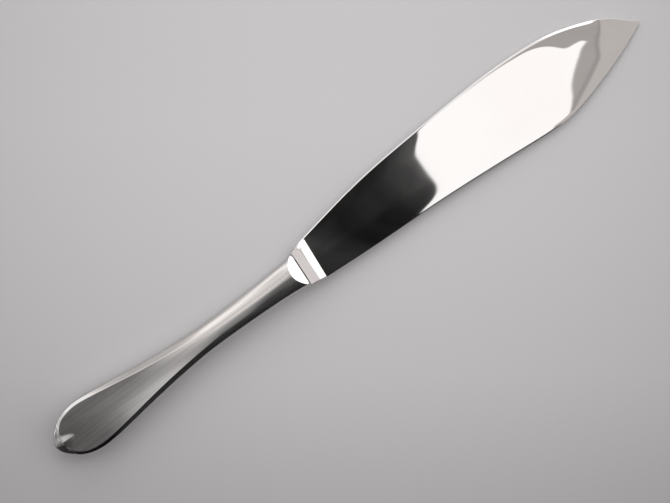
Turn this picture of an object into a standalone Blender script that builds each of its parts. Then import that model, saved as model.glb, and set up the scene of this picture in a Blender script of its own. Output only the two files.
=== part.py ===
"""Cake knife: a forged blade with bolster and tang, cemented into a hollow two-shell handle.

Metres, +Z up. The knife lies on its side with +X from butt to tip, the spine towards +Y and the cutting
edge towards -Y. Under the root empty, x = 0 is the joint between handle and bolster, y = 0 the handle's
middle line and z = 0 the middle plane of the knife.
"""

import math

import bmesh
import bpy
import numpy as np

# Lengths along the knife, all measured from the joint or from the butt
HANDLE_LENGTH = 0.1221
BLADE_LENGTH = 0.1678
TANG_LENGTH = 0.045
FERRULE_LENGTH = 0.016
BOLSTER_REAR_LENGTH = 0.0037
BOLSTER_FRONT_LENGTH = 0.0033

# Handle outline seen from above
BUTT_WIDTH = 0.02146
BUTT_BULGE_AT = 0.0175
BUTT_TIP_WIDTH = 0.0008
NECK_WIDTH = 0.01026
NECK_AT = 0.0825
NECK_FLARE = 0.0015
NOSE_FLARE = 0.0013

# Handle seen from the side
NECK_THICKNESS = 0.0100
BUTT_THICKNESS = 0.0046
BUTT_TIP_THICKNESS = 0.0014
FACE_START = 0.0036
FACE_CROWN = 0.00045
RIDGE_HEIGHT = 0.0003
RIDGE_LENGTH = 0.0085

# Shell, ferrule and cement
SHELL_WALL = 0.0007
BUTT_WALL = 0.0040
SEAM_GAP = 0.0003
FIT_GAP = 0.0003
FACET_ANGLE = math.radians(33.0)
JOINT_THICKNESS = 0.0037
JOINT_RAKE = math.radians(3.0)

# Bolster and tang
BOLSTER_STEP = 0.00015
CREST_THICKNESS = 0.0060
CREST_RAKE = math.radians(1.2)
HEEL_RAKE = math.radians(4.8)
BOLSTER_CORNER = 0.0012
TANG_WIDTH = 0.0090
TANG_COVER = 0.0006
TANG_THICKNESS = 0.0020
TANG_END_THICKNESS = 0.0016
TANG_CORNER = 0.0004

# Blade outline: how far spine and cutting edge stand off the handle's middle line
HEEL_SPINE_OFFSET = 0.00938
CREST_SPINE_OFFSET = 0.01963
HEEL_EDGE_OFFSET = 0.00854
BELLY_EDGE_OFFSET = 0.01480
TIP_OFFSET = 0.00048
TIP_WIDTH = 0.0004

# Blade section
BLADE_THICKNESS = 0.0020
TIP_THICKNESS = 0.0009
EDGE_THICKNESS = 0.0003
EDGE_BEVEL = 0.0012
GRIND_WIDTH = 0.0100
GRIND_RUN_IN = 0.0120
SPINE_CHAMFER = 0.0004

# Shape of the blade outline as shares: along the blade, and from heel level (0) to full level (1)
SPINE_SHAPE = ((0.0, 0.0), (0.097, 0.26), (0.197, 0.51), (0.296, 0.665), (0.496, 0.935),
               (0.640, 1.0), (0.795, 0.818), (0.869, 0.532), (0.917, 0.160), (0.962, -0.35))
EDGE_SHAPE = ((0.0, 0.0), (0.147, 0.19), (0.296, 0.327), (0.496, 0.64), (0.595, 0.84),
              (0.687, 1.0), (0.745, 0.90), (0.795, 0.60), (0.869, -0.006), (0.944, -0.66))

# Shape exponents and shares without a size
BUTT_ROUNDING = (2.2, 0.66)
WAIST_PULL = 0.73
NOSE_SHARPNESS = 14
NOSE_RISE = 0.7
FACE_SHARE = 0.868
FACE_SHARE_AT_TIP = 0.12
FACE_ROUNDING = 6
NECK_BLEND_POWER = 1.25
RIM_START_ANGLE = math.radians(30.0)
NECK_CREASE_ANGLE = math.radians(24.0)
NECK_SQUARENESS = 3.2
TAPER_START = 0.45
BEVEL_RISE = 0.4
GRIND_RISE = 0.8
HEEL_LEAN_FADE = 8
NARROW_SHARE = 0.125

# Mesh fineness
HANDLE_STATIONS = 36
BLADE_STATIONS = 30
RIM_STEPS = 4
FACE_STEPS = 6

SMOOTH_ANGLE = math.radians(25.0)
STATION_ROOM = 0.0003
CUTTER_OVERRUN = 0.004


def clear_scene():
    """Remove every object that the file opened with."""
    for old in list(bpy.data.objects):
        bpy.data.objects.remove(old, do_unlink=True)


def new_collection(name):
    """Add an empty collection to the scene."""
    collection = bpy.data.collections.new(name)
    bpy.context.scene.collection.children.link(collection)
    return collection


def new_material(name, colour, roughness, metallic):
    """Make a plain Principled material."""
    material = bpy.data.materials.new(name)
    material.use_nodes = True
    shader = material.node_tree.nodes["Principled BSDF"]
    shader.inputs["Base Color"].default_value = (*colour, 1.0)
    shader.inputs["Roughness"].default_value = roughness
    shader.inputs["Metallic"].default_value = metallic
    return material


def smooth_curve(points):
    """Return y(x) as a smooth cubic through the points, with slopes from their neighbours."""
    xs = np.array([point[0] for point in points])
    ys = np.array([point[1] for point in points])
    slopes = np.gradient(ys, xs)

    def value(x):
        i = int(np.clip(np.searchsorted(xs, x) - 1, 0, len(xs) - 2))
        span = xs[i + 1] - xs[i]
        u = (x - xs[i]) / span
        start = ys[i] * (2 * u ** 3 - 3 * u ** 2 + 1) + slopes[i] * span * (u ** 3 - 2 * u ** 2 + u)
        end = ys[i + 1] * (3 * u ** 2 - 2 * u ** 3) + slopes[i + 1] * span * (u ** 3 - u ** 2)
        return float(start + end)

    return value


def loft(name, rings, collection, material):
    """Join closed rings of points into one capped solid."""
    mesh = bpy.data.meshes.new(name)
    bm = bmesh.new()
    rows = [[bm.verts.new(point) for point in ring] for ring in rings]
    for row, after in zip(rows, rows[1:]):
        for i in range(len(row)):
            j = (i + 1) % len(row)
            bm.faces.new((row[i], row[j], after[j], after[i]))
    bm.faces.new(rows[0][::-1])
    bm.faces.new(rows[-1])
    bmesh.ops.recalc_face_normals(bm, faces=bm.faces)
    bm.to_mesh(mesh)
    bm.free()
    mesh.shade_smooth()
    mesh.set_sharp_from_angle(angle=SMOOTH_ANGLE)
    solid = bpy.data.objects.new(name, mesh)
    collection.objects.link(solid)
    if material:
        mesh.materials.append(material)
    return solid


def make_cutter(solid):
    """Mark an object as a cutter that is never part of the knife."""
    solid.hide_render = True
    solid.display_type = "WIRE"
    return solid


def cut(solid, cutter):
    """Take a cutter out of a solid."""
    modifier = solid.modifiers.new("cut_" + cutter.name, "BOOLEAN")
    modifier.operation = "DIFFERENCE"
    modifier.solver = "EXACT"
    modifier.object = cutter


# Handle form


def handle_half_width(d):
    """Half the handle's width at a distance d from the butt."""
    widest = BUTT_WIDTH / 2
    neck = NECK_WIDTH / 2
    tip = BUTT_TIP_WIDTH / 2
    if d <= BUTT_BULGE_AT:
        power, root = BUTT_ROUNDING
        share = (1 - (1 - max(d, 0.0) / BUTT_BULGE_AT) ** power) ** root
        return tip + (widest - tip) * share
    if d <= NECK_AT:
        v = (d - BUTT_BULGE_AT) / (NECK_AT - BUTT_BULGE_AT)
        return neck + (widest - neck) * (1 + math.cos(math.pi * v ** WAIST_PULL)) / 2
    v = (d - NECK_AT) / (HANDLE_LENGTH - NECK_AT)
    return neck + NECK_FLARE * v ** 2 + NOSE_FLARE * v ** NOSE_SHARPNESS


def handle_half_height(d):
    """Half the handle's thickness on its middle line at a distance d from the butt."""
    neck = NECK_THICKNESS / 2
    butt = BUTT_THICKNESS / 2
    tip = BUTT_TIP_THICKNESS / 2
    back = max(0.0, 1 - d / NECK_AT)
    height = neck - (neck - butt) * back ** 2
    nose = min(1.0, max(d, 0.0) / FACE_START) ** NOSE_RISE
    return tip + (height - tip) * nose


def face_share(d):
    """Share of the half width that the handle's flat face takes near the butt."""
    u = np.clip((d - FACE_START) / (BUTT_BULGE_AT - FACE_START), 0.0, 1.0)
    rounded = math.sqrt(1 - (1 - u) ** FACE_ROUNDING)
    return max(FACE_SHARE_AT_TIP, FACE_SHARE * rounded)


def upper_section(d, inset):
    """Points (y, z) over the top half of the handle, from the edge side to the spine side."""
    width = handle_half_width(d) - inset
    height = handle_half_height(d) - inset
    crown = FACE_CROWN * min(1.0, d / FACE_START)
    face = face_share(d) * width
    rim_top = height - crown
    blend = np.clip((d - BUTT_BULGE_AT) / (NECK_AT - BUTT_BULGE_AT), 0.0, 1.0) ** NECK_BLEND_POWER
    power = 2 / NECK_SQUARENESS
    ridge = RIDGE_HEIGHT * max(0.0, 1 - d / RIDGE_LENGTH) * min(1.0, d / FACE_START)
    half = []
    steps = RIM_STEPS + FACE_STEPS // 2
    for i in range(steps + 1):
        if i <= RIM_STEPS:
            angle = math.pi / 2 + (RIM_START_ANGLE - math.pi / 2) * i / RIM_STEPS
            reach = (math.sin(angle) - math.sin(RIM_START_ANGLE)) / (1 - math.sin(RIM_START_ANGLE))
            flat_y = face + (width - face) * reach
            flat_z = rim_top * math.cos(angle) / math.cos(RIM_START_ANGLE)
            turn = math.pi / 2 + (NECK_CREASE_ANGLE - math.pi / 2) * i / RIM_STEPS
        else:
            inward = (steps - i) / (steps - RIM_STEPS)
            flat_y = face * inward
            flat_z = height - crown * inward ** 2
            turn = NECK_CREASE_ANGLE * inward
        round_y = width * math.sin(turn) ** power
        round_z = height * math.cos(turn) ** power
        y = flat_y + (round_y - flat_y) * blend
        z = flat_z + (round_z - flat_z) * blend
        half.append((y, max(z, 0.0)))
    top = (0.0, half[-1][1] + ridge)
    return [(-y, z) for y, z in half[:-1]] + [top] + half[-2::-1]


def handle_places(start, end):
    """Distances from the butt for the sections between start and end, closer at both ends."""
    shares = [i / HANDLE_STATIONS for i in range(HANDLE_STATIONS + 1)]
    places = [HANDLE_LENGTH * (1 - math.cos(math.pi * v)) / 2 for v in shares]
    lean = handle_half_width(HANDLE_LENGTH) * math.tan(JOINT_RAKE)
    inner = [d for d in places if start + STATION_ROOM < d < end - lean - STATION_ROOM]
    return [start] + inner + [end]


def raked(x, y, rake):
    """Shift a section point along the knife so that its section leans by the rake angle."""
    return x + y * math.tan(rake)


def handle_ring(d, inset, rake):
    """A whole closed handle section as points in space."""
    top = upper_section(d, inset)
    below = [(y, -z) for y, z in top[-2:0:-1]]
    return [(raked(d - HANDLE_LENGTH, y, rake), y, z) for y, z in top + below]


def shell_ring(d, side, rake):
    """The upper (side 1) or lower (side -1) half of a handle section, flat along the seam."""
    ring = []
    for y, z in upper_section(d, 0.0):
        ring.append((raked(d - HANDLE_LENGTH, y, rake), y, side * max(z, SEAM_GAP / 2)))
    return ring[::side]


def make_shell(name, side, collection, material):
    """One pressed half of the handle, still solid before its cuts."""
    front = HANDLE_LENGTH - FIT_GAP
    rings = [shell_ring(d, side, 0.0) for d in handle_places(0.0, front)[:-1]]
    rings.append(shell_ring(front, side, JOINT_RAKE))
    return loft(name, rings, collection, material)


def make_core(name, start, end, inset, end_rake, collection, material):
    """A solid that follows the handle's form from start to end, a given inset below its skin."""
    places = handle_places(start, end)
    rings = [handle_ring(d, inset, 0.0) for d in places[:-1]]
    rings.append(handle_ring(places[-1], inset, end_rake))
    return loft(name, rings, collection, material)


def make_facet_cutter(name, side, collection):
    """A block whose lower face is the polished facet that slopes down to the joint."""
    depth = NECK_THICKNESS
    length = 2 * NECK_THICKNESS / math.sin(FACET_ANGLE)
    bpy.ops.mesh.primitive_cube_add(size=1.0)
    block = bpy.context.object
    block.name = name
    block.data.name = name
    reach = BUTT_WIDTH + CREST_SPINE_OFFSET
    for vertex in block.data.vertices:
        vertex.co.x *= length
        vertex.co.y *= reach
        vertex.co.z = side * (vertex.co.z + 0.5) * depth
    bm = bmesh.new()
    bm.from_mesh(block.data)
    bmesh.ops.recalc_face_normals(bm, faces=bm.faces)
    bm.to_mesh(block.data)
    bm.free()
    block.rotation_euler = (0.0, side * FACET_ANGLE, 0.0)
    block.location = (0.0, 0.0, side * JOINT_THICKNESS / 2)
    for holder in list(block.users_collection):
        holder.objects.unlink(block)
    collection.objects.link(block)
    return make_cutter(block)


# Blade, bolster and tang


def corner_bend(corner):
    """How far the middle of a rounded corner lies in from the two sides."""
    return corner * (1 - math.sqrt(0.5))


def rounded_box_ring(x, low, high, half_height, corner, rake):
    """A closed section with rounded corners, as points in space."""
    bend = corner_bend(corner)
    half = [(low, half_height - corner), (low + bend, half_height - bend), (low + corner, half_height),
            ((low + high) / 2, half_height),
            (high - corner, half_height), (high - bend, half_height - bend), (high, half_height - corner)]
    return mirrored_ring(x, half, rake)


def mirrored_ring(x, half, rake):
    """Close an upper half section with its mirror image below the middle plane."""
    below = [(y, -z) for y, z in half[::-1]]
    return [(raked(x, y, rake), y, z) for y, z in half + below]


def tang_ring(x, clearance):
    """Section of the tang, or of its slot when a clearance is given.

    The tang narrows from the joint to the handle's neck, where TANG_COVER of cement is left beside its slot.
    """
    joint_width = TANG_WIDTH / 2
    neck_width = NECK_WIDTH / 2 - SHELL_WALL - FIT_GAP - TANG_COVER - FIT_GAP
    narrowing = np.clip(x / neck_place(), 0.0, 1.0)
    reach = joint_width + (neck_width - joint_width) * narrowing + clearance
    thickness = TANG_THICKNESS + (TANG_END_THICKNESS - TANG_THICKNESS) * -x / TANG_LENGTH
    return rounded_box_ring(x, -reach, reach, thickness / 2 + clearance, TANG_CORNER, 0.0)


def neck_place():
    """Where the handle is narrowest, measured from the joint."""
    return NECK_AT - HANDLE_LENGTH


def tang_rings(end, clearance):
    """Sections of the tang or its slot from its end to the neck, without the one at the joint."""
    places = [x for x in (end, neck_place()) if x >= end]
    return [tang_ring(x, clearance) for x in places]


def blade_outline():
    """Return the spine's and the cutting edge's distance curves along the blade, as y(share)."""
    spine_rise = CREST_SPINE_OFFSET - HEEL_SPINE_OFFSET
    edge_drop = BELLY_EDGE_OFFSET - HEEL_EDGE_OFFSET
    spine = [(u, HEEL_SPINE_OFFSET + spine_rise * v) for u, v in SPINE_SHAPE]
    edge = [(u, -HEEL_EDGE_OFFSET - edge_drop * v) for u, v in EDGE_SHAPE]
    spine.append((1.0, -TIP_OFFSET + TIP_WIDTH / 2))
    edge.append((1.0, -TIP_OFFSET - TIP_WIDTH / 2))
    return smooth_curve(spine), smooth_curve(edge)


def blade_ring(share, rake, spine, edge):
    """Section of the blade at a share of its length from heel to tip."""
    heel = BOLSTER_REAR_LENGTH + BOLSTER_FRONT_LENGTH
    x = heel + (BLADE_LENGTH - heel) * share
    high = spine(share)
    low = edge(share)
    width = high - low
    thin = max(0.0, (share - TAPER_START) / (1 - TAPER_START)) ** 2
    flat = (BLADE_THICKNESS + (TIP_THICKNESS - BLADE_THICKNESS) * thin) / 2
    sharp = EDGE_THICKNESS / 2
    run_in = min(1.0, (x - heel) / GRIND_RUN_IN)
    bevel = min(EDGE_BEVEL, width * NARROW_SHARE)
    grind = min(GRIND_WIDTH, width / 2)
    chamfer = min(SPINE_CHAMFER, width * NARROW_SHARE)
    bend = corner_bend(BOLSTER_CORNER)
    at_heel = (0.0, bend, BOLSTER_CORNER, width / 2, width - BOLSTER_CORNER, width - bend, width)
    on_blade = (0.0, bevel, (bevel + grind) / 2, grind, (grind + width - chamfer) / 2, width - chamfer, width)
    rise = flat - sharp
    heights = (sharp, sharp + rise * BEVEL_RISE, sharp + rise * GRIND_RISE, flat, flat, flat, flat - chamfer)
    half = [(low + a + (b - a) * run_in, z) for a, b, z in zip(at_heel, on_blade, heights)]
    return mirrored_ring(x, half, rake)


def make_blade(collection, material):
    """The forging: tang, bolster and blade as one solid."""
    spine, edge = blade_outline()
    mouth = handle_half_width(HANDLE_LENGTH) + BOLSTER_STEP
    crest_high = (mouth + HEEL_SPINE_OFFSET) / 2
    crest_low = (mouth + HEEL_EDGE_OFFSET) / 2
    root = [(raked(x, y, JOINT_RAKE), y, z) for x, y, z in tang_ring(0.0, 0.0)]
    rings = tang_rings(-TANG_LENGTH, 0.0) + [root]
    rings.append(rounded_box_ring(0.0, -mouth, mouth, JOINT_THICKNESS / 2, BOLSTER_CORNER, JOINT_RAKE))
    rings.append(rounded_box_ring(BOLSTER_REAR_LENGTH, -crest_low, crest_high, CREST_THICKNESS / 2,
                                  BOLSTER_CORNER, CREST_RAKE))
    for i in range(BLADE_STATIONS + 1):
        share = i / BLADE_STATIONS
        lean = HEEL_RAKE * (1 - share) ** HEEL_LEAN_FADE
        rings.append(blade_ring(share, lean, spine, edge))
    return loft("blade", rings, collection, material)


def place_knife(parts):
    """Hang the pieces on one empty that stands the knife's box on the origin."""
    spine, edge = blade_outline()
    shares = np.linspace(0.0, 1.0, BLADE_STATIONS + 1)
    highest = max(spine(u) for u in shares)
    lowest = min(edge(u) for u in shares)
    root = bpy.data.objects.new("cake_knife_root", None)
    root.location = ((HANDLE_LENGTH - BLADE_LENGTH) / 2, -(highest + lowest) / 2, NECK_THICKNESS / 2)
    bpy.context.scene.collection.objects.link(root)
    for part in parts:
        part.parent = root


def main():
    clear_scene()
    knife = new_collection("cake_knife")
    cutters = new_collection("cutters")

    polished = new_material("polished_steel", (0.80, 0.80, 0.79), 0.04, 1.0)
    satin_upper = new_material("satin_steel_upper", (0.66, 0.65, 0.64), 0.32, 1.0)
    satin_lower = new_material("satin_steel_lower", (0.66, 0.65, 0.64), 0.32, 1.0)
    ferrule_steel = new_material("ferrule_steel", (0.80, 0.80, 0.79), 0.06, 1.0)
    cement = new_material("cement", (0.52, 0.49, 0.44), 0.90, 0.0)

    blade = make_blade(knife, polished)
    upper = make_shell("handle_upper_shell", 1, knife, satin_upper)
    lower = make_shell("handle_lower_shell", -1, knife, satin_lower)
    plug_start = HANDLE_LENGTH - FERRULE_LENGTH
    fit = SHELL_WALL + FIT_GAP
    ferrule = make_core("handle_ferrule", plug_start, HANDLE_LENGTH - FIT_GAP, fit, JOINT_RAKE,
                        knife, ferrule_steel)
    filler = make_core("handle_filler", BUTT_WALL + FIT_GAP, plug_start - FIT_GAP, fit, 0.0, knife, cement)

    hollow = make_cutter(make_core("handle_hollow", BUTT_WALL, HANDLE_LENGTH + CUTTER_OVERRUN, SHELL_WALL,
                                   0.0, cutters, None))
    slot_rings = tang_rings(-TANG_LENGTH - FIT_GAP, FIT_GAP)
    slot_rings += [tang_ring(0.0, FIT_GAP), tang_ring(CUTTER_OVERRUN, FIT_GAP)]
    slot = make_cutter(loft("tang_slot", slot_rings, cutters, None))
    upper_facet = make_facet_cutter("upper_facet", 1, cutters)
    lower_facet = make_facet_cutter("lower_facet", -1, cutters)

    for shell, facet in ((upper, upper_facet), (lower, lower_facet)):
        cut(shell, hollow)
        cut(shell, facet)
    for facet in (upper_facet, lower_facet):
        cut(ferrule, facet)
    cut(ferrule, slot)
    cut(filler, slot)

    place_knife([blade, upper, lower, ferrule, filler, hollow, slot, upper_facet, lower_facet])


main()
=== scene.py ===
"""Looks of the cake knife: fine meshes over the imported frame, steel materials, studio, floor and camera.

Metres, in the frame of the CAD model: +X from butt to tip, +Y towards the spine, +Z up. The forms are
worked out in the knife's own coordinates, where x = 0 is the joint between handle and bolster, y = 0 the
handle's middle line and z = 0 the middle plane, and are then shifted onto the frame.
"""

import math

import bmesh
import bpy
import numpy as np
from mathutils import Matrix, Vector


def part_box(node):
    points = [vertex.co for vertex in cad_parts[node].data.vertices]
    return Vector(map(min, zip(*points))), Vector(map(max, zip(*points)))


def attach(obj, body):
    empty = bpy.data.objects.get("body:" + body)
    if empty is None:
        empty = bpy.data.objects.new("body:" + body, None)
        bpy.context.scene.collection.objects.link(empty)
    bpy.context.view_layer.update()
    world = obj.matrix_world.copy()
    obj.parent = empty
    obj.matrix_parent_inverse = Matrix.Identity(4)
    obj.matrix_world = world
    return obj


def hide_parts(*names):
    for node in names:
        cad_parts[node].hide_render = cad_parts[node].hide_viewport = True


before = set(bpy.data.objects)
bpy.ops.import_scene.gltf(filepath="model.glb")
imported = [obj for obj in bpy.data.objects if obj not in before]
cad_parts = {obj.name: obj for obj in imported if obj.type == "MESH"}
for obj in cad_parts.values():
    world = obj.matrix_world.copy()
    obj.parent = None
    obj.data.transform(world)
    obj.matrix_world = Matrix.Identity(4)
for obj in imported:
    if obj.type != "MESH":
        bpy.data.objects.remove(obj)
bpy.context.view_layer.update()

# Lengths along the knife
HANDLE_LENGTH = 0.1221
BLADE_LENGTH = 0.1678
TANG_LENGTH = 0.045
FERRULE_LENGTH = 0.016
BOLSTER_REAR_LENGTH = 0.0037
BOLSTER_FRONT_LENGTH = 0.0033
HEEL_AT = BOLSTER_REAR_LENGTH + BOLSTER_FRONT_LENGTH

# Handle outline seen from above
BUTT_WIDTH = 0.02146
BUTT_BULGE_AT = 0.0175
BUTT_TIP_WIDTH = 0.0008
NECK_WIDTH = 0.01026
NECK_AT = 0.0825
NECK_FLARE = 0.0015
NOSE_FLARE = 0.0004
BUTT_ROUNDING = (2.2, 0.66)
WAIST_PULL = 0.73
NOSE_SHARPNESS = 14

# Handle seen from the side and in section
NECK_THICKNESS = 0.0100
BUTT_THICKNESS = 0.0046
BUTT_TIP_THICKNESS = 0.0014
FACE_START = 0.0036
SPINE_SIDE_CROWN = ((0.0, 0.0), (0.020, 0.0), (0.032, -0.00007), (0.042, -0.00008), (0.050, -0.00002),
                    (0.058, 0.00006), (0.066, 0.00012), (0.0825, 0.00025), (0.1221, 0.00020))
EDGE_SIDE_CROWN = ((0.0, 0.0), (0.008, -0.00003), (0.018, -0.00005), (0.025, -0.00017), (0.032, -0.00031),
                   (0.042, -0.00033), (0.050, -0.00027), (0.058, -0.00013), (0.066, 0.00003),
                   (0.0825, 0.00018), (0.097, 0.00019), (0.112, 0.0004), (0.1221, 0.0004))
EDGE_SIDE_FULLNESS = ((0.0, 0.0002), (0.011, 0.0002), (0.018, 0.0003), (0.026, 0.0004), (0.042, 0.0004),
                      (0.060, 0.00035), (0.108, 0.0003), (0.1221, 0.0007))
RIDGE_HEIGHT = 0.00032
RIDGE_LENGTH = 0.0093
RIDGE_FADE = 0.0052
RIDGE_WIDTH = 0.0036
RIDGE_NARROWING = 0.55
RIDGE_EDGE_SPREAD = 1.4
NOSE_RISE = 0.7
FACE_SHARE = 0.868
FACE_SHARE_AT_TIP = 0.12
FACE_SHARE_AT_NECK = 0.42
FACE_ROUNDING = 6
NECK_BLEND_POWER = 1.25
RIM_START_SLOPE = ((0.0, 0.42), (0.023, 0.44), (0.031, 0.64), (0.060, 0.64), (0.066, 0.60), (0.072, 0.52),
                   (0.080, 0.36), (0.095, 0.28), (0.1221, 0.20))
RIM_POWER = ((0.0, 16.0), (0.054, 16.0), (0.078, 4.0), (0.1221, 4.0))
RIM_TURN = 0.3
RIM_DEPTH_LIMIT = 0.9
WALL_SHARE = 0.3
# Extra slope of the rim at the mouth, and where it sets in
SPINE_MOUTH = (0.28, 0.111)
EDGE_MOUTH = (0.20, 0.095)

# Shells, mouth and ferrule
SHELL_WALL = 0.0007
BUTT_WALL = 0.0040
SEAM_HAIRLINE = 0.00008
JOINT_GAP = 0.0005
FACET_HAIRLINE = 0.00003
FACET_ANGLE = math.radians(33.0)
FACET_RUN = 0.014
JOINT_THICKNESS = 0.0037
JOINT_RAKE = math.radians(3.0)

# Bolster and tang
JOINT_SPINE_OFFSET = 0.0078
JOINT_EDGE_OFFSET = 0.0078
CREST_SPINE_SHARE = 0.5
CREST_EDGE_SHARE = 0.3
CREST_THICKNESS = 0.0060
CREST_RAKE = math.radians(1.2)
CREST_ROUNDING = 0.05
CREST_FLATTENING = CREST_ROUNDING / 4
HEEL_RAKE = math.radians(4.8)
HEEL_LEAN_FADE = 8
BOLSTER_CORNER = 0.0002
BOLSTER_CHAMFER = 0.0015
BOLSTER_CHAMFER_DROP = 0.0009
BOLSTER_CHAMFER_FROM = 0.55
BOLSTER_CHAMFER_ROUNDING = 0.35
TANG_WIDTH = 0.0090
TANG_END_WIDTH = 0.0065
TANG_THICKNESS = 0.0020
TANG_END_THICKNESS = 0.0016
TANG_CORNER = 0.0004

# Blade outline: how far spine and cutting edge stand off the handle's middle line
HEEL_SPINE_OFFSET = 0.00935
CREST_SPINE_OFFSET = 0.01905
HEEL_EDGE_OFFSET = 0.00903
BELLY_EDGE_OFFSET = 0.01515
TIP_OFFSET = 0.00057
TIP_WIDTH = 0.00055
SPINE_SHAPE = ((0.0, 0.0), (0.10, 0.297), (0.22, 0.596), (0.36, 0.784), (0.50, 0.931), (0.62, 1.0),
               (0.72, 0.950), (0.80, 0.772), (0.88, 0.374), (0.94, -0.118))
EDGE_SHAPE = ((0.0, 0.0), (0.14, 0.211), (0.30, 0.352), (0.46, 0.600), (0.58, 0.848), (0.66, 1.0),
              (0.72, 0.975), (0.78, 0.683), (0.86, 0.082), (0.93, -0.557))

# Blade section
BLADE_THICKNESS = 0.0026
TIP_THICKNESS = 0.00152
TAPER_START = 0.121
TAPER_POWER = 1.397
EDGE_BEVEL = 0.00042
BEVEL_SLOPE = ((0.0, 0.55), (0.63, 0.55), (0.72, 0.12), (1.0, 0.05))
GRIND_FLOOR = 0.00045
GRIND_SHARE = 0.78
GRIND_WIDTH = 0.01456
TIP_GRIND_WIDTH = 0.0445
GRIND_POWER = 3.278
TIP_GRIND_FROM = 0.351
SPINE_DROP = 0.00028
SPINE_DROP_RUN_IN = 0.15
TIP_SPINE_DROP = 0.0001745
TIP_SPINE_DROP_GROWTH = 6.45
SPINE_DROP_WIDTH = 0.0090
TIP_SPINE_DROP_WIDTH = 0.0269
TIP_SPINE_DROP_FROM = 0.737
SPINE_DROP_POWER = 3.296
SPINE_CHAMFER = ((0.0, 0.00036), (0.10, 0.00032), (0.25, 0.00028), (0.50, 0.00026), (0.60, 0.0003),
                 (0.70, 0.0004), (0.75, 0.0005), (0.80, 0.0007), (0.85, 0.0009), (0.895, 0.0012),
                 (0.905, 0.0010), (0.915, 0.0001), (1.0, 0.0001))
CHAMFER_SLOPE = ((0.0, 0.38), (0.60, 0.38), (0.80, 0.30), (1.0, 0.22))
SPINE_MINIMUM = 0.00008
NARROW_SHARE = 0.125

# Fineness of the meshes
HANDLE_ROWS = 150
ROW_CROWDING = 1.35
WALL_POINTS = 3
RIM_POINTS = 14
FACE_POINTS = 30
FACE_CROWDING = 1.25
MOUTH_ROWS = 16
MOUTH_HALVINGS = 40
FERRULE_ROWS = 24
BAND_RINGS = (0.0, 0.5, 1 - CREST_ROUNDING)
FRONT_RINGS = (CREST_ROUNDING, 0.35, 0.7)
BLADE_ROWS = 190
END_CROWDING = 0.5
BEVEL_POINTS = 3
BLADE_POINTS = 48
HALF_POINTS = BEVEL_POINTS + BLADE_POINTS + 1
CORNER_POINTS = 7
SMOOTH_ANGLE = math.radians(18.0)
SHELL_SMOOTH_ANGLE = math.radians(50.0)

# Places of the finishes in the material lists of the blade and the shells
BAND_FINISH = 1
SCALE_FINISH = 2
MOUTH_FINISH = 1

# Camera and picture, measured on the photograph
PICTURE_WIDTH = 670
METRES_PER_PIXEL = 0.0004011
AXIS_ANGLE = math.radians(36.1)
CAMERA_DISTANCE = 0.80
CAMERA_TILT = math.radians(5.0)
AIM_X = 0.01487
AIM_Y = -0.00265
AIM_Z = 0.0015
SENSOR_WIDTH = 36.0


# Small helpers for curves and meshes


def smooth_curve(points):
    """Return y(x) as a smooth cubic through the points, with slopes from their neighbours."""
    xs, ys = np.array(points, dtype=float).T
    slopes = np.gradient(ys, xs)

    def value(x):
        x = np.asarray(x, dtype=float)
        i = np.clip(np.searchsorted(xs, x) - 1, 0, len(xs) - 2)
        span = xs[i + 1] - xs[i]
        u = (x - xs[i]) / span
        start = ys[i] * (2 * u ** 3 - 3 * u ** 2 + 1) + slopes[i] * span * (u ** 3 - 2 * u ** 2 + u)
        end = ys[i + 1] * (3 * u ** 2 - 2 * u ** 3) + slopes[i + 1] * span * (u ** 3 - u ** 2)
        return start + end

    return value


def spline_curve(points):
    """Return y(x) as a natural cubic spline, whose bend changes evenly, as a mirror finish needs."""
    xs, ys = np.array(points, dtype=float).T
    span = np.diff(xs)
    system = np.eye(len(xs))
    turns = np.zeros(len(xs))
    for i in range(1, len(xs) - 1):
        system[i, i - 1:i + 2] = (span[i - 1], 2 * (span[i - 1] + span[i]), span[i])
        turns[i] = 6 * ((ys[i + 1] - ys[i]) / span[i] - (ys[i] - ys[i - 1]) / span[i - 1])
    bends = np.linalg.solve(system, turns)

    def value(x):
        x = np.asarray(x, dtype=float)
        i = np.clip(np.searchsorted(xs, x) - 1, 0, len(xs) - 2)
        u = x - xs[i]
        v = xs[i + 1] - x
        curved = (bends[i] * v ** 3 + bends[i + 1] * u ** 3) / (6 * span[i])
        start = (ys[i] / span[i] - bends[i] * span[i] / 6) * v
        return curved + start + (ys[i + 1] / span[i] - bends[i + 1] * span[i] / 6) * u

    return value


def even_rise(value, low, high):
    """0 below low, 1 above high and a rise between them whose bend has no jumps."""
    u = np.clip((value - low) / (high - low), 0.0, 1.0)
    return u ** 3 * (10 - 15 * u + 6 * u * u)


def mesh_piece(name, points, faces, materials, smooth_angle=SMOOTH_ANGLE):
    """Make a smooth-shaded object from points in the knife's coordinates."""
    mesh = bpy.data.meshes.new(name)
    placed = np.asarray(points, dtype=float) + knife_origin()
    mesh.from_pydata(placed.tolist(), [], faces)
    bm = bmesh.new()
    bm.from_mesh(mesh)
    bmesh.ops.recalc_face_normals(bm, faces=bm.faces)
    bm.to_mesh(mesh)
    bm.free()
    mesh.shade_smooth()
    mesh.set_sharp_from_angle(angle=smooth_angle)
    piece = bpy.data.objects.new(name, mesh)
    bpy.context.scene.collection.objects.link(piece)
    for material in materials:
        mesh.materials.append(material)
    return piece


def knife_origin():
    """Where the knife's own origin lies in the frame, from the boxes of the CAD nodes."""
    blade_low, blade_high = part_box("blade")
    shell_low, shell_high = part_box("handle_upper_shell")
    middle = (shell_low[1] + shell_high[1]) / 2
    return np.array([blade_high[0] - BLADE_LENGTH, middle, NECK_THICKNESS / 2])


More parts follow.
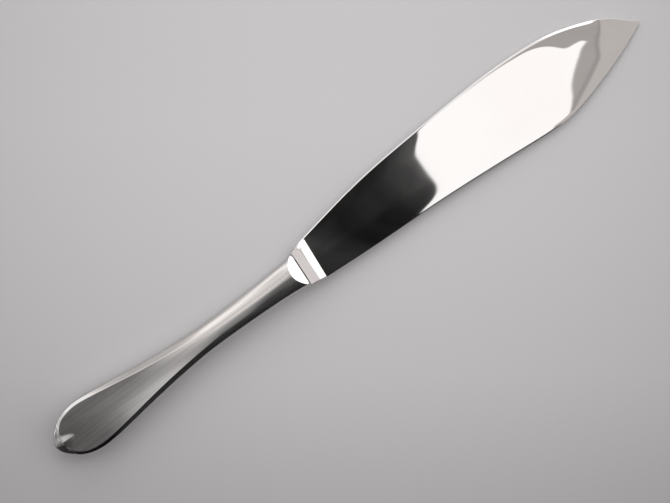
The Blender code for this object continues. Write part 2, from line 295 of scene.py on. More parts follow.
def grid_quads(rows, columns, first, closed):
    """Quads between neighbouring rows of points that are numbered row by row from first."""
    quads = []
    last = columns if closed else columns - 1
    for i in range(rows - 1):
        for j in range(last):
            k = (j + 1) % columns
            a = first + i * columns
            quads.append((a + j, a + k, a + columns + k, a + columns + j))
    return quads


# Handle form


def handle_half_width(d):
    """Half the handle's width at distances d from the butt."""
    d = np.asarray(d, dtype=float)
    widest = BUTT_WIDTH / 2
    neck = NECK_WIDTH / 2
    tip = BUTT_TIP_WIDTH / 2
    power, root = BUTT_ROUNDING
    butt = np.clip(1 - np.clip(d, 0.0, None) / BUTT_BULGE_AT, 0.0, 1.0)
    bulge = tip + (widest - tip) * (1 - butt ** power) ** root
    v = np.clip((d - BUTT_BULGE_AT) / (NECK_AT - BUTT_BULGE_AT), 0.0, 1.0)
    waist = neck + (widest - neck) * (1 + np.cos(math.pi * v ** WAIST_PULL)) / 2
    v = np.clip((d - NECK_AT) / (HANDLE_LENGTH - NECK_AT), 0.0, None)
    mouth = neck + NECK_FLARE * v ** 2 + NOSE_FLARE * v ** NOSE_SHARPNESS
    return np.where(d <= BUTT_BULGE_AT, bulge, np.where(d <= NECK_AT, waist, mouth))


def handle_half_height(d):
    """Half the handle's thickness on its middle line at distances d from the butt."""
    neck = NECK_THICKNESS / 2
    butt = BUTT_THICKNESS / 2
    tip = BUTT_TIP_THICKNESS / 2
    back = np.clip(1 - d / NECK_AT, 0.0, None)
    height = neck - (neck - butt) * back ** 2
    nose = np.clip(d / FACE_START, 0.0, 1.0) ** NOSE_RISE
    return tip + (height - tip) * nose


def face_share(d):
    """Share of the half width that the handle's face takes: broad at the butt, narrow at the neck."""
    u = np.clip((d - FACE_START) / (BUTT_BULGE_AT - FACE_START), 0.0, 1.0)
    rounded = np.sqrt(1 - (1 - u) ** FACE_ROUNDING)
    blend = np.clip((d - BUTT_BULGE_AT) / (NECK_AT - BUTT_BULGE_AT), 0.0, 1.0) ** NECK_BLEND_POWER
    share = FACE_SHARE + (FACE_SHARE_AT_NECK - FACE_SHARE) * blend
    return np.maximum(FACE_SHARE_AT_TIP, share * rounded)


def face_crown(d, side):
    """How far the face's middle stands above a border: dished behind the waist, round at the neck."""
    return smooth_curve(SPINE_SIDE_CROWN if side > 0 else EDGE_SIDE_CROWN)(d)


def section_places():
    """Places across half a handle section: rim shares from the seam in, then face shares to the middle."""
    wall = np.linspace(0.0, WALL_SHARE, WALL_POINTS + 1)[:-1]
    shoulder = WALL_SHARE + (1 - WALL_SHARE) * np.linspace(0.0, 1.0, RIM_POINTS + 1)
    face = 1 - np.linspace(0.0, 1.0, FACE_POINTS + 1)[1:] ** FACE_CROWDING
    return np.concatenate([wall, shoulder]), face


def handle_section(d, inset, side, rim, inward):
    """Points (y, z) of the upper half section at d, for one place across: a rim share or a face share."""
    width = handle_half_width(d) - inset
    if side < 0:
        width = width + smooth_curve(EDGE_SIDE_FULLNESS)(d)
    height = handle_half_height(d) - inset
    crown = face_crown(d, side)
    face = face_share(d) * width
    rim_top = height - crown
    mouth_slope, mouth_from = SPINE_MOUTH if side > 0 else EDGE_MOUTH
    by_mouth = np.clip((d - mouth_from) / (HANDLE_LENGTH - mouth_from), 0.0, 1.0)
    start_slope = smooth_curve(RIM_START_SLOPE)(d) + mouth_slope * by_mouth ** 2
    drop = np.minimum((start_slope + RIM_TURN) * (width - face), RIM_DEPTH_LIMIT * rim_top)
    if inward is not None:
        y = face * inward
        z = height - crown * inward ** 2
    elif rim < WALL_SHARE:
        y = width
        z = (rim_top - drop) * rim / WALL_SHARE
    else:
        outward = math.cos((rim - WALL_SHARE) / (1 - WALL_SHARE) * math.pi / 2)
        turn = 1 - np.sqrt(1 - outward ** smooth_curve(RIM_POWER)(d))
        y = face + (width - face) * outward
        z = rim_top - drop * (start_slope * outward + RIM_TURN * turn) / (start_slope + RIM_TURN)
    spread = RIDGE_EDGE_SPREAD if side < 0 else 1.0
    left = np.clip(1 - d / RIDGE_LENGTH, 0.0, None)
    reach = np.maximum(spread * RIDGE_WIDTH * left ** RIDGE_NARROWING, SEAM_HAIRLINE)
    fading = np.clip(left * RIDGE_LENGTH / RIDGE_FADE, 0.0, 1.0)
    crest = RIDGE_HEIGHT * fading * np.clip(d / FACE_START, 0.0, 1.0)
    z = z + crest * np.clip(1 - y / reach, 0.0, None)
    return y, z


def section_lines():
    """Places across a whole upper section as (side, rim share, face share), edge side to spine side."""
    rim, face = section_places()
    half = [(share, None) for share in rim] + [(None, share) for share in face]
    edge_side = [(-1, *place) for place in half]
    spine_side = [(1, *place) for place in half[-2::-1]]
    return edge_side + spine_side


def line_at(line, d, inset):
    """Points (y, z) along one lengthwise line of the handle."""
    side, rim, inward = line
    y, z = handle_section(d, inset, side, rim, inward)
    return side * y, z


def line_end(line, inset):
    """How far from the butt a lengthwise line ends: at the sloping facet or at the joint's plane."""
    low = HANDLE_LENGTH - FACET_RUN
    high = HANDLE_LENGTH
    for _ in range(MOUTH_HALVINGS):
        middle = (low + high) / 2
        y, z = line_at(line, np.array(middle), inset)
        x = middle - HANDLE_LENGTH
        facet = JOINT_THICKNESS / 2 - x * math.tan(FACET_ANGLE)
        front = -JOINT_GAP + y * math.tan(JOINT_RAKE)
        if z > facet or x > front:
            high = middle
        else:
            low = middle
    return (low + high) / 2


def handle_rows(start, rows):
    """Distances from the butt of the common rows before the mouth, closer together near the butt."""
    end = HANDLE_LENGTH - FACET_RUN
    shares = np.linspace(0.0, 1.0, rows) ** ROW_CROWDING
    return start + (end - start) * shares


def shell_grid(start, rows, inset, side):
    """Rows of points over one half of the handle at a given depth below its skin."""
    common = handle_rows(start, rows)
    columns = []
    for line in section_lines():
        end = line_end(line, inset)
        mouth = common[-1] + (end - common[-1]) * np.linspace(0.0, 1.0, MOUTH_ROWS + 1)[1:]
        d = np.concatenate([common, mouth])
        y, z = line_at(line, d, inset)
        z = side * np.hypot(z, SEAM_HAIRLINE / 2)
        columns.append(np.stack([d - HANDLE_LENGTH, y, z], axis=1))
    return np.stack(columns, axis=1)


def make_shell(name, side, materials):
    """One pressed half of the handle: skin, inside, seam and the polished cut at the mouth."""
    skin = shell_grid(0.0, HANDLE_ROWS, 0.0, side)
    solid_rows = int(np.searchsorted(handle_rows(0.0, HANDLE_ROWS), BUTT_WALL))
    inside = shell_grid(0.0, HANDLE_ROWS, SHELL_WALL, side)[solid_rows:]
    rows, columns = skin.shape[:2]
    inner_rows = inside.shape[0]
    first = rows * columns
    points = np.concatenate([skin.reshape(-1, 3), inside.reshape(-1, 3)])
    faces = grid_quads(rows, columns, 0, False)
    faces += grid_quads(inner_rows, columns, first, False)

    def outer(i, j):
        return i * columns + j

    def inner(i, j):
        return first + (i - solid_rows) * columns + j

    far = columns - 1
    faces.append(tuple(outer(0, j) for j in range(columns)))
    for i in range(solid_rows - 1):
        faces.append((outer(i, 0), outer(i, far), outer(i + 1, far), outer(i + 1, 0)))
    last = solid_rows - 1
    faces.append((outer(last, 0), outer(last, far), outer(solid_rows, far), inner(solid_rows, far),
                  inner(solid_rows, 0), outer(solid_rows, 0)))
    faces.append(tuple(inner(solid_rows, j) for j in range(columns)))
    for i in range(solid_rows, rows - 1):
        for j in (0, far):
            faces.append((outer(i, j), outer(i + 1, j), inner(i + 1, j), inner(i, j)))
    mouth_start = len(faces)
    mouth = rows - 1
    for j in range(columns - 1):
        faces.append((outer(mouth, j), outer(mouth, j + 1), inner(mouth, j + 1), inner(mouth, j)))
    shell = mesh_piece(name, points, faces, materials, SHELL_SMOOTH_ANGLE)
    for polygon in shell.data.polygons[mouth_start:]:
        polygon.material_index = MOUTH_FINISH
    sharpen_borders(shell.data)
    return shell


def sharpen_borders(mesh):
    """Keep the edges sharp where two finishes meet."""
    bm = bmesh.new()
    bm.from_mesh(mesh)
    for edge in bm.edges:
        finishes = {face.material_index for face in edge.link_faces}
        if len(finishes) > 1:
            edge.smooth = False
    bm.to_mesh(mesh)
    bm.free()


def make_ferrule(materials):
    """The polished plug in the mouth, cut by the two sloping facets."""
    inset = SHELL_WALL + FACET_HAIRLINE
    d = np.linspace(HANDLE_LENGTH - FERRULE_LENGTH, HANDLE_LENGTH + JOINT_GAP, FERRULE_ROWS)
    lines = [np.stack([d - HANDLE_LENGTH, *line_at(line, d, inset)], axis=1) for line in section_lines()]
    upper = np.stack(lines, axis=1)
    lower = upper[:, -2:0:-1] * np.array([1.0, 1.0, -1.0])
    rings = np.concatenate([upper, lower], axis=1)
    rows, columns = rings.shape[:2]
    faces = grid_quads(rows, columns, 0, True)
    faces.append(tuple(range(columns)))
    faces.append(tuple((rows - 1) * columns + j for j in range(columns)))
    plug = mesh_piece("mouth_ferrule", rings.reshape(-1, 3), faces, materials)
    bm = bmesh.new()
    bm.from_mesh(plug.data)
    origin = Vector(knife_origin())
    for side in (1, -1):
        normal = Vector((math.sin(FACET_ANGLE), 0.0, side * math.cos(FACET_ANGLE)))
        slice_off(bm, origin + Vector((0.0, 0.0, side * JOINT_THICKNESS / 2)), normal)
    slice_off(bm, origin + Vector((-JOINT_GAP, 0.0, 0.0)), Vector((1.0, -math.tan(JOINT_RAKE), 0.0)))
    bm.to_mesh(plug.data)
    bm.free()
    plug.data.shade_smooth()
    plug.data.set_sharp_from_angle(angle=SMOOTH_ANGLE)
    return plug


def slice_off(bm, point, normal):
    """Cut away what lies beyond a plane and close the cut."""
    everything = list(bm.verts) + list(bm.edges) + list(bm.faces)
    cut = bmesh.ops.bisect_plane(bm, geom=everything, plane_co=point, plane_no=normal, clear_outer=True)
    rim = [item for item in cut["geom_cut"] if isinstance(item, bmesh.types.BMEdge)]
    bmesh.ops.contextual_create(bm, geom=rim)


# Blade form


def rounded_half(low, high, half_height, corner, count):
    """Upper half of a section with rounded corners, from the edge side to the spine side."""
    turn = np.linspace(0.0, math.pi / 2, CORNER_POINTS)
    edge_y = low + corner * (1 - np.cos(turn))
    edge_z = half_height - corner * (1 - np.sin(turn))
    spine_y = high - corner * (1 - np.cos(turn[::-1]))
    flat_count = count - 2 * CORNER_POINTS
    flat_y = np.linspace(low + corner, high - corner, flat_count + 2)[1:-1]
    y = np.concatenate([edge_y, flat_y, spine_y])
    z = np.concatenate([edge_z, np.full(flat_count, half_height), edge_z[::-1]])
    return y, z


def bolster_half(low, high, half_height, chamfer, chamfer_drop):
    """Upper half of a bolster section, with as many points as the blade's: corner, flat and chamfer."""
    corner = np.linspace(0.0, BOLSTER_CORNER, BEVEL_POINTS + 1)[:-1]
    rounding = BOLSTER_CHAMFER_ROUNDING * chamfer
    sink = BOLSTER_CHAMFER_ROUNDING * chamfer_drop
    flat_y = np.linspace(low + BOLSTER_CORNER, high - chamfer - rounding, BLADE_POINTS - 2)
    y = np.concatenate([low + corner, flat_y, [high - chamfer, high - chamfer + rounding, high]])
    corner_z = half_height - (BOLSTER_CORNER - corner)
    chamfer_z = half_height - np.array([sink / 4, sink, chamfer_drop])
    z = np.concatenate([corner_z, np.full(BLADE_POINTS - 2, half_height), chamfer_z])
    return y, z


def closed_ring(x, y, z, rake):
    """A whole section from its upper half: leaning by the rake, mirrored below the middle plane."""
    along = x + y * math.tan(rake)
    upper = np.stack([along, y, z], axis=1)
    return np.concatenate([upper, upper[::-1] * np.array([1.0, 1.0, -1.0])])


def blade_outline():
    """Return the spine's and the cutting edge's curves along the blade, as y(share)."""
    spine_rise = CREST_SPINE_OFFSET - HEEL_SPINE_OFFSET
    edge_drop = BELLY_EDGE_OFFSET - HEEL_EDGE_OFFSET
    spine = [(u, HEEL_SPINE_OFFSET + spine_rise * v) for u, v in SPINE_SHAPE]
    edge = [(u, -HEEL_EDGE_OFFSET - edge_drop * v) for u, v in EDGE_SHAPE]
    spine.append((1.0, -TIP_OFFSET + TIP_WIDTH / 2))
    edge.append((1.0, -TIP_OFFSET - TIP_WIDTH / 2))
    return spline_curve(spine), spline_curve(edge)


def blade_half(share, spine, edge):
    """Upper half section (x, y, z) of the blade at a share of its length from heel to tip."""
    x = HEEL_AT + (BLADE_LENGTH - HEEL_AT) * share
    high = float(spine(share))
    low = float(edge(share))
    width = high - low
    thin = max(0.0, (share - TAPER_START) / (1 - TAPER_START)) ** TAPER_POWER
    flat = (BLADE_THICKNESS + (TIP_THICKNESS - BLADE_THICKNESS) * thin) / 2
    bevel = min(EDGE_BEVEL, width * NARROW_SHARE)
    chamfer = min(float(np.interp(share, *zip(*SPINE_CHAMFER))), width * NARROW_SHARE)
    bevel_points = np.linspace(0.0, bevel, BEVEL_POINTS + 1)[:-1]
    e = np.concatenate([bevel_points, np.linspace(bevel, width - chamfer, BLADE_POINTS)])
    grind = GRIND_WIDTH + (TIP_GRIND_WIDTH - GRIND_WIDTH) * even_rise(share, TIP_GRIND_FROM, 1.0)
    depth = GRIND_SHARE * (flat - GRIND_FLOOR)
    z = flat - depth * np.clip(1 - e / grind, 0.0, 1.0) ** GRIND_POWER
    widening = even_rise(share, TIP_SPINE_DROP_FROM, 1.0)
    drop_width = SPINE_DROP_WIDTH + (TIP_SPINE_DROP_WIDTH - SPINE_DROP_WIDTH) * widening
    spine_drop = SPINE_DROP * (1 - math.exp(-(share / SPINE_DROP_RUN_IN) ** 2))
    spine_drop = spine_drop + TIP_SPINE_DROP * share ** TIP_SPINE_DROP_GROWTH
    z = z - spine_drop * np.clip(1 - (width - e) / drop_width, 0.0, 1.0) ** SPINE_DROP_POWER
    z = z - float(np.interp(share, *zip(*BEVEL_SLOPE))) * np.clip(bevel - e, 0.0, None)
    z = np.maximum(z, SPINE_MINIMUM)
    y = low + np.append(e, width)
    z = np.append(z, max(z[-1] - chamfer * float(smooth_curve(CHAMFER_SLOPE)(share)), SPINE_MINIMUM))
    return x, y, z


def tang_half(x):
    """Upper half section of the tang at a place behind the joint."""
    share = -x / TANG_LENGTH
    width = TANG_WIDTH + (TANG_END_WIDTH - TANG_WIDTH) * share
    thickness = TANG_THICKNESS + (TANG_END_THICKNESS - TANG_THICKNESS) * share
    return rounded_half(-width / 2, width / 2, thickness / 2, TANG_CORNER, HALF_POINTS)


def make_blade(materials):
    """The forging as one piece: tang, bolster with its ground band and polished front, and blade."""
    spine, edge = blade_outline()
    crest_high = JOINT_SPINE_OFFSET + (HEEL_SPINE_OFFSET - JOINT_SPINE_OFFSET) * CREST_SPINE_SHARE
    crest_low = JOINT_EDGE_OFFSET + (HEEL_EDGE_OFFSET - JOINT_EDGE_OFFSET) * CREST_EDGE_SHARE
    joint_half = bolster_half(-JOINT_EDGE_OFFSET, JOINT_SPINE_OFFSET, JOINT_THICKNESS / 2,
                              BOLSTER_CORNER, BOLSTER_CORNER)
    joint = closed_ring(0.0, *joint_half, JOINT_RAKE)
    crest_half = bolster_half(-crest_low, crest_high, CREST_THICKNESS / 2,
                              BOLSTER_CHAMFER, BOLSTER_CHAMFER_DROP)
    crest = closed_ring(BOLSTER_REAR_LENGTH, *crest_half, CREST_RAKE)
    square_half = bolster_half(-crest_low, crest_high, CREST_THICKNESS / 2, BOLSTER_CORNER, BOLSTER_CORNER)
    square_crest = closed_ring(BOLSTER_REAR_LENGTH, *square_half, CREST_RAKE)
    chamfer_start = joint + (square_crest - joint) * BOLSTER_CHAMFER_FROM
    heel = closed_ring(*blade_half(0.0, spine, edge), HEEL_RAKE)

    rings = [closed_ring(-TANG_LENGTH, *tang_half(-TANG_LENGTH), 0.0)]
    rings.append(closed_ring(0.0, *tang_half(0.0), JOINT_RAKE))
    band_start = len(rings)
    rings.append(joint)
    rings.append((joint + chamfer_start) / 2)
    for share in BAND_RINGS:
        rings.append(chamfer_start + (crest - chamfer_start) * share)
    band_end = len(rings)
    rings.append(crest * np.array([1.0, 1.0, 1 - CREST_FLATTENING]))
    for share in FRONT_RINGS:
        rings.append(crest + (heel - crest) * share)
    even = np.linspace(0.0, 1.0, BLADE_ROWS)
    shares = (1 - END_CROWDING) * even + END_CROWDING * (1 - np.cos(math.pi * even)) / 2
    for share in shares:
        lean = HEEL_RAKE * (1 - share) ** HEEL_LEAN_FADE
        rings.append(closed_ring(*blade_half(share, spine, edge), lean))

    columns = 2 * HALF_POINTS
    faces = grid_quads(len(rings), columns, 0, True)
    faces.append(tuple(range(columns)))
    faces.append(tuple((len(rings) - 1) * columns + j for j in range(columns)))
    blade = mesh_piece("polished_blade", np.concatenate(rings), faces, materials)
    # The two quads on either side of the spine's narrow middle face are the polished chamfer
    chamfer_columns = (HALF_POINTS - 3, HALF_POINTS - 2, HALF_POINTS, HALF_POINTS + 1)
    for index in range(band_start * columns, band_end * columns):
        if index % columns not in chamfer_columns:
            blade.data.polygons[index].material_index = BAND_FINISH
    for polygon in blade.data.polygons[:band_start * columns]:
        polygon.material_index = SCALE_FINISH
    return blade


# Materials: a noise is given by scale, detail and roughness, a bump by strength and distance
SMUDGE_NOISE = (42.0, 3.0, 0.6)
SMUDGE_ROUGHNESS = (0.0, 0.02)
POLISH_STRETCH = (160.0, 3200.0, 3200.0)
POLISH_NOISE = (1.0, 2.0, 0.6)
POLISH_ROUGHNESS = (0.0, 0.012)
POLISH_BUMP = (0.003, 0.00002)
POLISH_COLOUR = (0.80, 0.79, 0.78, 1.0)
SMUDGE_COLOUR = (0.76, 0.75, 0.745, 1.0)
FINE_NOISE = (1.0, 3.0, 0.65)
COARSE_NOISE = (1.0, 2.0, 0.5)
COARSE_SCALE = 0.18
STREAK_COARSENESS = 0.4
STREAK_BUMP = (0.12, 0.00003)
TONE_COARSENESS = 0.7
TONE_STEP = (0.3, 0.7)
TONE_CLOUDS = 0.25
CLOUD_NOISE = (60.0, 2.0, 0.5)
DARK_TONE = 0.88
LIGHT_TONE = 1.08
CEMENT_GRAINS = (900.0, 4.0, 0.6)
CEMENT_BLOTCHES = (120.0, 2.0, 0.5)
CEMENT_BLOTCHINESS = 0.5
CEMENT_DARK = (0.42, 0.39, 0.35, 1.0)
CEMENT_LIGHT = (0.60, 0.57, 0.51, 1.0)
CEMENT_BUMP = (0.5, 0.0002)
CEMENT_ROUGHNESS = 0.9
# Satin steels: brush grain, colour, roughness from and to, anisotropy
BAND_STEEL = ((1600.0, 60.0, 1600.0), (0.70, 0.66, 0.655), (0.14, 0.24), 0.2)
SCALE_STEEL = ((400.0, 400.0, 400.0), (0.10, 0.095, 0.09), (0.45, 0.60), 0.0)
HANDLE_STEEL = ((90.0, 4200.0, 4200.0), (0.66, 0.65, 0.645), (0.12, 0.18), 0.65)


class NodeMaker:
    """Adds shader nodes to a tree with their inputs set or linked in one call."""

    def __init__(self, tree):
        self.tree = tree
        tree.nodes.clear()

    def add(self, kind, settings=None, **inputs):
        node = self.tree.nodes.new(kind)
        for key, value in (settings or {}).items():
            setattr(node, key, value)
        for key, value in inputs.items():
            self.feed(node.inputs[key.replace("_", " ")], value)
        return node

    def feed(self, socket, value):
        if isinstance(value, bpy.types.NodeSocket):
            self.tree.links.new(value, socket)
        else:
            socket.default_value = value

    def math(self, operation, first, second=0.0, third=0.0):
        node = self.add("ShaderNodeMath", {"operation": operation})
        for socket, value in zip(node.inputs, (first, second, third)):
            self.feed(socket, value)
        return node.outputs[0]

    def times(self, first, second):
        """Multiply two values, or two masks for where both are 1."""
        return self.math("MULTIPLY", first, second)

    def vector_math(self, operation, first, second):
        node = self.add("ShaderNodeVectorMath", {"operation": operation})
        self.feed(node.inputs[0], first)
        self.feed(node.inputs[1], second)
        return node.outputs[0]

    def step(self, value, low, high):
        """0 at low, 1 at high, eased between them."""
        node = self.add("ShaderNodeMapRange", {"interpolation_type": "SMOOTHSTEP"},
                        Value=value, From_Min=low, From_Max=high)
        return node.outputs["Result"]

    def span(self, value, low, high, soft):
        """1 between low and high, fading out over a soft edge at both ends."""
        return self.times(self.step(value, low - soft, low + soft),
                          self.step(value, high + soft, high - soft))

    def limit(self, value, low, high):
        """Hold a value between low and high."""
        return self.math("MINIMUM", self.math("MAXIMUM", value, low), high)

    def bent(self, base, value, slant, bend):
        """Add a slant and a bend by another value to a base value."""
        return self.math("MULTIPLY_ADD", self.math("MULTIPLY_ADD", value, bend, slant), value, base)

    def scale_to(self, value, low, high):
        """Stretch a 0 to 1 value to a range."""
        return self.add("ShaderNodeMapRange", Value=value, To_Min=low, To_Max=high).outputs["Result"]

    def mix(self, factor, first, second):
        node = self.add("ShaderNodeMix", {"data_type": "FLOAT"})
        self.feed(node.inputs[0], factor)
        self.feed(node.inputs[2], first)
        self.feed(node.inputs[3], second)
        return node.outputs[0]

    def colour_mix(self, factor, first, second):
        node = self.add("ShaderNodeMix", {"data_type": "RGBA"})
        self.feed(node.inputs[0], factor)
        self.feed(node.inputs[6], first)
        self.feed(node.inputs[7], second)
        return node.outputs[2]

    def noise(self, vector, scale, detail, roughness):
        node = self.add("ShaderNodeTexNoise", Vector=vector, Scale=scale, Detail=detail, Roughness=roughness)
        return node.outputs["Fac"]

    def stretched(self, vector, scale):
        return self.add("ShaderNodeMapping", Vector=vector, Scale=scale).outputs["Vector"]

    def bump(self, height, strength, distance):
        node = self.add("ShaderNodeBump", Strength=strength, Distance=distance, Height=height)
        return node.outputs["Normal"]

    def levels(self, value, stops):
        """Read a value off a list of (place, level) stops, with straight lines between them."""
        low = stops[0][0]
        high = stops[-1][0]
        share = self.add("ShaderNodeMapRange", Value=value, From_Min=low, From_Max=high)
        ramp = self.add("ShaderNodeValToRGB", Fac=share.outputs["Result"])
        elements = ramp.color_ramp.elements
        shares = [(place - low) / (high - low) for place, level in stops]
        for place in shares[1:-1]:
            elements.new(place)
        for element, place, stop in zip(elements, shares, stops):
            element.position = place
            element.color = (stop[1], stop[1], stop[1], 1.0)
        return ramp.outputs["Color"]


def new_material(name):
    """Start a node material and return it with its maker and the object coordinates."""
    material = bpy.data.materials.new(name)
    material.use_nodes = True
    make = NodeMaker(material.node_tree)
    place = make.add("ShaderNodeTexCoord").outputs["Object"]
    return material, make, place


def finish_material(make, shader):
    """Send a shader to the material's output."""
    output = make.add("ShaderNodeOutputMaterial")
    make.tree.links.new(shader.outputs[0], output.inputs["Surface"])


def polished_steel(name):
    """Mirror-polished steel with faint polishing lines and handling marks."""
    material, make, place = new_material(name)
    smudge = make.noise(place, *SMUDGE_NOISE)
    lines = make.noise(make.stretched(place, POLISH_STRETCH), *POLISH_NOISE)
    roughness = make.math("ADD", make.scale_to(smudge, *SMUDGE_ROUGHNESS),
                          make.scale_to(lines, *POLISH_ROUGHNESS))
    tone = make.colour_mix(smudge, POLISH_COLOUR, SMUDGE_COLOUR)
    shader = make.add("ShaderNodeBsdfPrincipled", Base_Color=tone, Metallic=1.0, Roughness=roughness,
                      Normal=make.bump(lines, *POLISH_BUMP))
    finish_material(make, shader)
    return material


def satin_steel(name, grain, colour, roughness_range, anisotropy):
    """Satin steel with brush lines along a direction set by the grain scale."""
    material, make, place = new_material(name)
    coarse_grain = tuple(COARSE_SCALE * value for value in grain)
    fine = make.noise(make.stretched(place, grain), *FINE_NOISE)
    coarse = make.noise(make.stretched(place, coarse_grain), *COARSE_NOISE)
    cloud = make.noise(place, *CLOUD_NOISE)
    streak = make.mix(STREAK_COARSENESS, fine, coarse)
    roughness = make.scale_to(streak, *roughness_range)
    light = tuple(LIGHT_TONE * value for value in colour) + (1.0,)
    dark = tuple(DARK_TONE * value for value in colour) + (1.0,)
    brushed = make.step(make.mix(TONE_COARSENESS, fine, coarse), *TONE_STEP)
    tone = make.colour_mix(make.mix(TONE_CLOUDS, brushed, cloud), dark, light)
    normal = make.add("ShaderNodeNewGeometry").outputs["Normal"]
    across = make.vector_math("CROSS_PRODUCT", normal, (1.0, 0.0, 0.0))
    shader = make.add("ShaderNodeBsdfPrincipled", Base_Color=tone, Metallic=1.0, Roughness=roughness,
                      Anisotropic=anisotropy, Normal=make.bump(streak, *STREAK_BUMP), Tangent=across)
    finish_material(make, shader)
    return material


def cement_material():
    """Matt cement with grains and blotches."""
    material, make, place = new_material("cement")
    grains = make.noise(place, *CEMENT_GRAINS)
    blotches = make.noise(place, *CEMENT_BLOTCHES)
    tone = make.colour_mix(make.mix(CEMENT_BLOTCHINESS, grains, blotches), CEMENT_DARK, CEMENT_LIGHT)
    shader = make.add("ShaderNodeBsdfPrincipled", Base_Color=tone, Roughness=CEMENT_ROUGHNESS,
                      Normal=make.bump(grains, *CEMENT_BUMP))
    finish_material(make, shader)
    return material


# Floor: painted shade as levels of grey up the picture and darkening at its sides, and where along the knife
# it touches the neck
BLACK = (0.0, 0.0, 0.0, 1.0)
FLOOR_COLOUR = (0.848, 0.84, 0.853, 1.0)
FLOOR_SHADE_LEVELS = ((-0.12, 0.66), (-0.10, 0.72), (-0.06, 0.86), (0.0, 0.955), (0.04, 1.0), (0.12, 1.0))
FLOOR_SIDE_SHADE = 7.0
FLOOR_MOST_SIDE_SHADE = 0.3
FLOOR_ROUGHNESS = 0.85
FLOOR_SPECULAR = 0.15
FLOOR_HALF = 2.0
FLOOR_LEAN = math.radians(1.35)
FLOOR_CONTACT = -0.0049


def floor_material():
    """Pale grey card with painted shade: slightly darker towards the bottom of the picture and its sides, in
    place of falloff of light.
    """
    material, make, place = new_material("floor_card_painted_falloff")
    parts = make.add("ShaderNodeSeparateXYZ", Vector=place)
    up = make.math("ADD", make.times(parts.outputs["X"], math.sin(AXIS_ANGLE)),
                   make.times(parts.outputs["Y"], math.cos(AXIS_ANGLE)))
    side = make.math("SUBTRACT", make.times(parts.outputs["X"], math.cos(AXIS_ANGLE)),
                     make.times(parts.outputs["Y"], math.sin(AXIS_ANGLE)))
    # Painted shade: the card's colour is darkened up the picture and towards its sides, standing in for
    # falloff of light
    rise = make.levels(up, FLOOR_SHADE_LEVELS)
    side_shade = make.times(make.times(side, side), FLOOR_SIDE_SHADE)
    kept = make.math("SUBTRACT", 1.0, make.math("MINIMUM", side_shade, FLOOR_MOST_SIDE_SHADE))
    tone = make.colour_mix(make.times(rise, kept), BLACK, FLOOR_COLOUR)
    shader = make.add("ShaderNodeBsdfPrincipled", Base_Color=tone, Roughness=FLOOR_ROUGHNESS)
    shader.inputs["Specular IOR Level"].default_value = FLOOR_SPECULAR
    finish_material(make, shader)
    return material


def make_floor():
    """A flat card, far larger than the view: the neck's front end rests on it, the tip stands just above."""
    half = FLOOR_HALF
    contact = float(knife_origin()[0]) + FLOOR_CONTACT
    low = math.tan(FLOOR_LEAN) * (-half - contact)
    high = math.tan(FLOOR_LEAN) * (half - contact)
    mesh = bpy.data.meshes.new("floor")
    corners = [(-half, -half, low), (half, -half, high), (half, half, high), (-half, half, low)]
    mesh.from_pydata(corners, [], [(0, 1, 2, 3)])
    mesh.materials.append(floor_material())
    floor = bpy.data.objects.new("floor", mesh)
    bpy.context.scene.collection.objects.link(floor)


# Levels of the studio across the knife, by the slope that mirrors them: minus is the cutting edge's side
ACROSS_LEVELS = ((-1.0, 0.03), (-0.50, 0.03), (-0.38, 0.05), (-0.31, 0.11), (-0.25, 0.20), (-0.16, 0.32),
                 (-0.084, 0.45), (-0.04, 0.55), (0.0, 0.61), (0.03, 0.77), (0.07, 0.94), (0.12, 1.0),
                 (0.25, 1.0), (0.31, 1.1), (0.37, 1.45), (0.47, 1.32), (0.55, 0.90), (0.63, 0.68),
                 (0.74, 0.63), (1.0, 0.55))
# Shares of these levels towards the butt, and how far they hold across the knife
BUTT_LEVELS = ((-0.40, 0.60), (-0.26, 0.30), (-0.18, 0.07), (-0.137, 0.08), (-0.128, 0.10), (-0.117, 0.30),
               (-0.105, 0.50), (-0.09, 0.61), (-0.07, 0.70), (-0.06, 0.82), (-0.037, 0.88), (-0.02, 1.0))
BUTT_HOLD = ((0.0, 1.0), (0.03, 0.85), (0.06, 0.65), (0.12, 0.50), (0.20, 0.45), (0.36, 0.0))
# Reach of shades and cards along and across: (low, high, soft edge), or (none, full) where one side is open
BEHIND_SLANT = 1.7
BEHIND_SLANTED = (0.0, -0.1)
BEHIND_ALONG = (-0.17, -0.21)
BEHIND_SHADE = 0.45
BUTT_END = ((-0.65, -0.25, 0.05), (0.10, 0.60, 0.05))
BUTT_END_SHADE = 0.62
UNDER_RIDGE_ALONG = (-0.15, -0.07, 0.008)
UNDER_RIDGE_ACROSS = (-0.012, -0.040)
UNDER_RIDGE_SHADE = 0.1
# Cards and boxes: reach along, reach across and level
BAND_CARD = ((-0.38, -0.25, 0.02), (-0.05, 0.10, 0.02), 1.15)
HEEL_STRIP = ((-0.030, -0.006, 0.004), (0.03, 0.10, 0.015), 1.5)
FRONT_BOX = ((0.20, 0.85, 0.05), (-0.85, -0.35, 0.05), 1.2)
TOP_BOX = ((0.13, 0.60, 0.02), (0.17, 0.70, 0.02), 1.75)
FAR_BOX = ((0.38, 0.85, 0.03), (-0.25, 0.12, 0.02), 1.6)
BOX_GAP = ((0.38, 0.85, 0.03), (0.15, 0.36, 0.02), 0.40)
